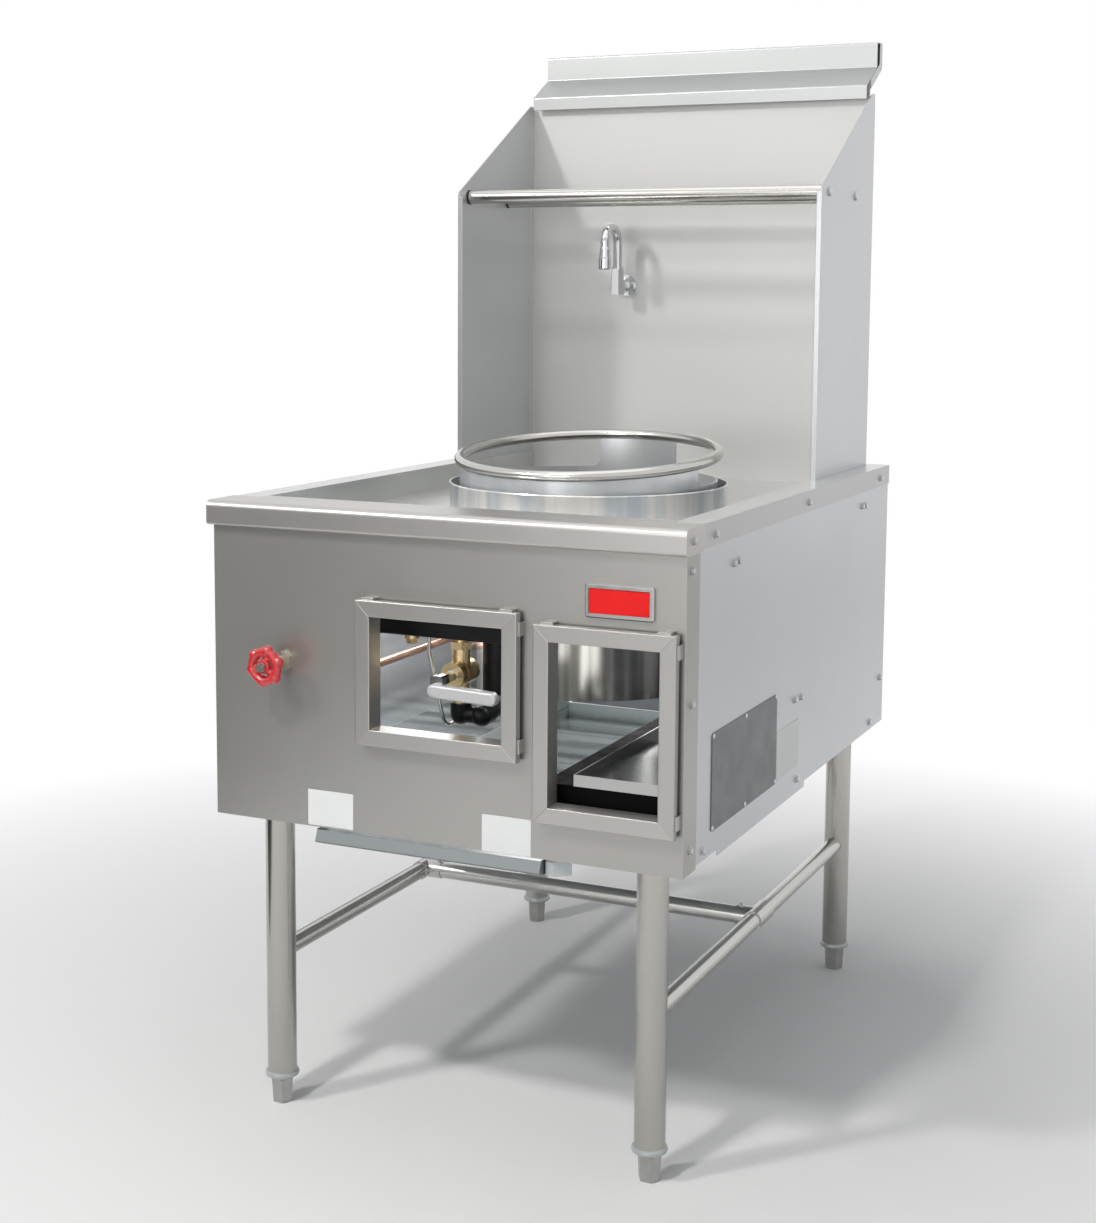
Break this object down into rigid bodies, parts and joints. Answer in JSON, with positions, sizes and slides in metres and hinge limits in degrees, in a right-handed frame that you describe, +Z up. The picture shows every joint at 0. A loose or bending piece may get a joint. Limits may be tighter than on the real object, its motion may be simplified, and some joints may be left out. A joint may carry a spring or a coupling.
{
  "type": "wok range",
  "caption": "Free-standing stainless wok range: tall splash guard, lift-off tilted wok ring, swivel faucet, gas lever, drip tray and levelling feet.",
  "frame": {"origin": "middle of the whole object's footprint, on the floor", "axes": "+Z up, +Y from the cook towards the wall behind the range, +X to the cook's right"},
  "size_m": [0.7004, 1.064, 1.556],
  "materials": {
    "front_steel": "stainless, horizontal brush",
    "panel_steel": "stainless, fine brush",
    "deck_steel": "stainless, semi-bright",
    "mirror_steel": "stainless, bright",
    "splash_steel": "stainless, satin",
    "polished_steel": "polished stainless",
    "leg_steel": "stainless tube, satin",
    "galvanised": "galvanised sheet",
    "dark_steel": "heat-darkened steel",
    "foot_metal": "die-cast, satin",
    "chrome": "bright chrome plate",
    "brass": "turned brass",
    "copper": "copper tube",
    "pilot_metal": "drawn tube",
    "black_iron": "black enamel",
    "cast_iron": "as cast",
    "grey_paint": "grey paint",
    "red_enamel": "gloss red enamel",
    "badge_enamel": "red field in a bright surround, no wording",
    "plate_grey": "bare grey plate",
    "refractory": "cast refractory"
  },
  "bodies": {
    "cabinet": {"back_panel": "panel_steel", "badge": "badge_enamel", "brace_sleeves": "leg_steel", "burner_body": "cast_iron", "burner_jets": "brass", "burner_pipe": "black_iron", "chamber_drum": "deck_steel", "chamber_lining": "refractory", "collar": "deck_steel", "cross_tube": "leg_steel", "deck": "deck_steel", "drum_shelves": "dark_steel", "faucet_body": "chrome", "floor_plates": "galvanised", "front_panel": "front_steel", "front_rim": "front_steel", "gas_inlet_pipe": "black_iron", "gas_manifold": "black_iron", "gas_valve_body": "brass", "guard_back": "splash_steel", "leg_inserts": "galvanised", "leg_sockets": "galvanised", "legs": "leg_steel", "manifold_hangers": "galvanised", "manifold_plug": "brass", "panel_screws": "polished_steel", "pilot_safety_valve": "black_iron", "pilot_tube": "pilot_metal", "rack_bolts": "polished_steel", "rack_tubes": "polished_steel", "service_box": "black_iron", "service_tray": "panel_steel", "side_panel_left": "panel_steel", "side_panel_right": "panel_steel", "side_plate": "plate_grey", "side_tubes": "leg_steel", "splash_back": "mirror_steel", "splash_wings": "splash_steel", "top_guard": "splash_steel", "tray_guide_left": "galvanised", "tray_guide_right": "galvanised", "valve_elbows": "black_iron", "water_feed_pipe": "copper", "water_supply_pipe": "copper", "water_valve": "brass", "window_frame_left": "front_steel", "window_frame_right": "front_steel"},
    "wok_ring": {"ring_hoop": "polished_steel", "ring_skirt": "polished_steel"},
    "water_wheel": {"handwheel": "red_enamel", "water_stem": "chrome"},
    "gas_handle": {"gas_lever": "grey_paint", "gas_stem": "chrome"},
    "spout": {"faucet_spout": "chrome", "faucet_aerator": "chrome"},
    "tray": {"drip_tray": "galvanised"},
    "screw_foot_back_left": {"foot_back_left": "foot_metal"},
    "screw_foot_back_right": {"foot_back_right": "foot_metal"},
    "screw_foot_front_left": {"foot_front_left": "foot_metal"},
    "screw_foot_front_right": {"foot_front_right": "foot_metal"}
  },
  "joints": [
    {"name": "wok_ring_lift", "type": "slide", "parent": "cabinet", "child": "wok_ring", "axis": [0, 0, 1], "range_m": [0, 0.06]},
    {"name": "water_wheel_turn", "type": "hinge", "parent": "cabinet", "child": "water_wheel", "pos_m": [-0.233, -0.519, 0.65], "axis": [0, 1, 0], "range_deg": [0, 1260]},
    {"name": "gas_lever_swing", "type": "hinge", "parent": "cabinet", "child": "gas_handle", "pos_m": [-0.021, -0.44, 0.633], "axis": [0, 1, 0], "range_deg": [0, 90]},
    {"name": "spout_swivel", "type": "hinge", "parent": "cabinet", "child": "spout", "pos_m": [-0.125, 0.42, 1.19], "axis": [0, 0, 1], "range_deg": [-90, 90]},
    {"name": "drip_tray_slide", "type": "slide", "parent": "cabinet", "child": "tray", "axis": [0, -1, 0], "range_m": [0, 0.7]},
    {"name": "foot_back_left_screw", "type": "slide", "parent": "cabinet", "child": "screw_foot_back_left", "axis": [0, 0, 1], "range_m": [-0.025, 0]},
    {"name": "foot_back_right_screw", "type": "slide", "parent": "cabinet", "child": "screw_foot_back_right", "axis": [0, 0, 1], "range_m": [-0.025, 0]},
    {"name": "foot_front_left_screw", "type": "slide", "parent": "cabinet", "child": "screw_foot_front_left", "axis": [0, 0, 1], "range_m": [-0.025, 0]},
    {"name": "foot_front_right_screw", "type": "slide", "parent": "cabinet", "child": "screw_foot_front_right", "axis": [0, 0, 1], "range_m": [-0.025, 0]}
  ]
}
